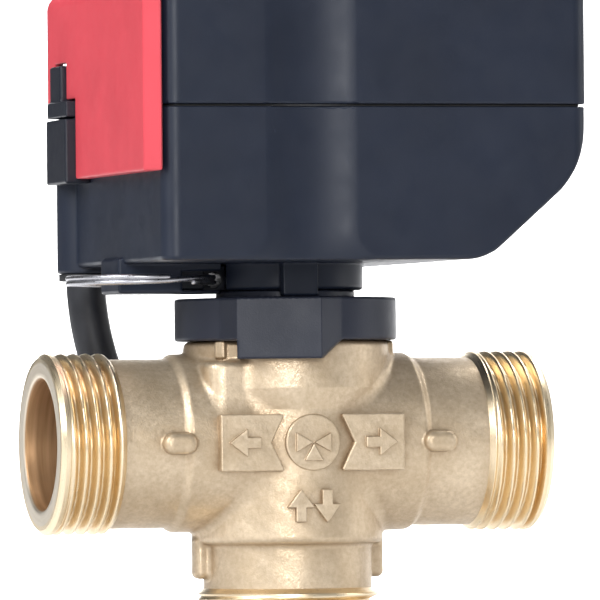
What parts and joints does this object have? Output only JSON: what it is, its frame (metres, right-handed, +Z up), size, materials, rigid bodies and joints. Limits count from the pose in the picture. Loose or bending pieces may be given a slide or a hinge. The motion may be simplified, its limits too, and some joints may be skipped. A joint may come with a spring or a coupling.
{
  "type": "three way valve",
  "caption": "Motorised three way diverting valve: cast brass tee body with male threaded ports, plastic mounting collar and clip-on electric actuator with a red end cover and pull ring.",
  "frame": {"origin": "centre of the face of port AB, below the stem; the axis of ports A and B is 41.5 mm above it", "axes": "+X from port A to port B, -Y out of the front with the flow marks, +Z up the stem towards the actuator"},
  "size_m": [0.0948, 0.0719, 0.1269],
  "materials": {
    "cast_brass": "sand-cast and blasted, with machined threads",
    "machined_brass": "turned",
    "ball_chrome": "polished",
    "ptfe": "satin",
    "seal_rubber": "matt",
    "spring_steel": "bright",
    "ring_steel": "polished wire",
    "case_plastic": "fine spark-eroded texture, satin",
    "collar_plastic": "satin",
    "catch_plastic": "satin",
    "red_plastic": "satin",
    "cable_jacket": "smooth PVC",
    "gear_plastic": "natural acetal",
    "cam_plastic": "satin",
    "plated_steel": "zinc plated",
    "copper_coil": "enamelled wire",
    "rotor_iron": "ferrite",
    "circuit_green": "solder resist",
    "switch_plastic": "satin",
    "terminal_plastic": "satin",
    "wire_insulation": "PVC"
  },
  "bodies": {
    "valve": {"valve_body": "cast_brass", "seat_a": "ptfe", "seat_b": "ptfe", "retainer_a": "machined_brass", "retainer_b": "machined_brass", "bonnet": "machined_brass", "bonnet_seal": "seal_rubber", "bonnet_circlip": "spring_steel", "collar_snap_ring": "spring_steel", "mounting_collar": "collar_plastic", "base_housing": "case_plastic", "cable_bush": "seal_rubber", "cable": "cable_jacket", "upper_cover": "case_plastic", "housing_gasket": "seal_rubber", "cover_screws": "plated_steel", "catch_keeper": "catch_plastic", "catch_pin": "plated_steel", "latch_spring": "spring_steel", "gear_axles": "plated_steel", "gear_plate": "plated_steel", "plate_screws": "plated_steel", "motor_case": "plated_steel", "motor_coil": "copper_coil", "motor_screws": "plated_steel", "circuit_board": "circuit_green", "limit_switch_a": "switch_plastic", "limit_switch_b": "switch_plastic", "terminal_block": "terminal_plastic", "lead_wires": "wire_insulation"},
    "output": {"output_spindle": "machined_brass", "output_gear": "gear_plastic", "limit_cam": "cam_plastic"},
    "flow_rotor": {"valve_stem": "machined_brass", "valve_ball": "ball_chrome", "stem_seals": "seal_rubber"},
    "second_gear": {"gear_2": "gear_plastic"},
    "first_gear": {"gear_1": "gear_plastic"},
    "rotor": {"motor_rotor": "rotor_iron", "motor_pinion": "machined_brass"},
    "latch": {"latch_slider": "catch_plastic"},
    "ring": {"pull_ring": "ring_steel"},
    "catch": {"catch_lever": "catch_plastic"},
    "red_cover": {"end_cover": "red_plastic"}
  },
  "joints": [
    {"name": "output_turn", "type": "hinge", "parent": "valve", "child": "output", "pos_m": [0, 0, 0.0805], "axis": [0, 0, 1], "range_deg": [0, 90]},
    {"name": "stem_turn", "type": "hinge", "parent": "valve", "child": "flow_rotor", "pos_m": [0, 0, 0.0415], "axis": [0, 0, 1], "range_deg": [-1, 91]},
    {"name": "gear_2_turn", "type": "hinge", "parent": "valve", "child": "second_gear", "pos_m": [0.01697, 0.01697, 0.0855], "axis": [0, 0, 1], "range_deg": [-362, 2]},
    {"name": "gear_1_turn", "type": "hinge", "parent": "valve", "child": "first_gear", "pos_m": [0.02194, -0.00158, 0.0875], "axis": [0, 0, 1], "range_deg": [-5, 1085]},
    {"name": "motor_turn", "type": "hinge", "parent": "valve", "child": "rotor", "pos_m": [0.00454, -0.00969, 0.0905], "axis": [0, 0, 1], "range_deg": [-3250, 10]},
    {"name": "latch_slide", "type": "slide", "parent": "valve", "child": "latch", "axis": [-1, 0, 0], "range_m": [0, 0.0038], "deforming": ["latch_spring"]},
    {"name": "ring_swing", "type": "hinge", "parent": "latch", "child": "ring", "pos_m": [-0.0145, 0, 0.0715], "axis": [0, -1, 0], "range_deg": [-4, 20]},
    {"name": "catch_swing", "type": "hinge", "parent": "valve", "child": "catch", "pos_m": [-0.0354, 0.0228, 0.1039], "axis": [0, -1, 0], "range_deg": [0, 9]},
    {"name": "end_cover_pull", "type": "slide", "parent": "valve", "child": "red_cover", "axis": [-1, 0, 0], "range_m": [0, 0.02]}
  ],
  "couplings": [
    {"joint": "stem_turn", "follows": "output_turn", "ratio": 1},
    {"joint": "gear_2_turn", "follows": "output_turn", "ratio": -4},
    {"joint": "gear_1_turn", "follows": "output_turn", "ratio": 12},
    {"joint": "motor_turn", "follows": "output_turn", "ratio": -36}
  ]
}
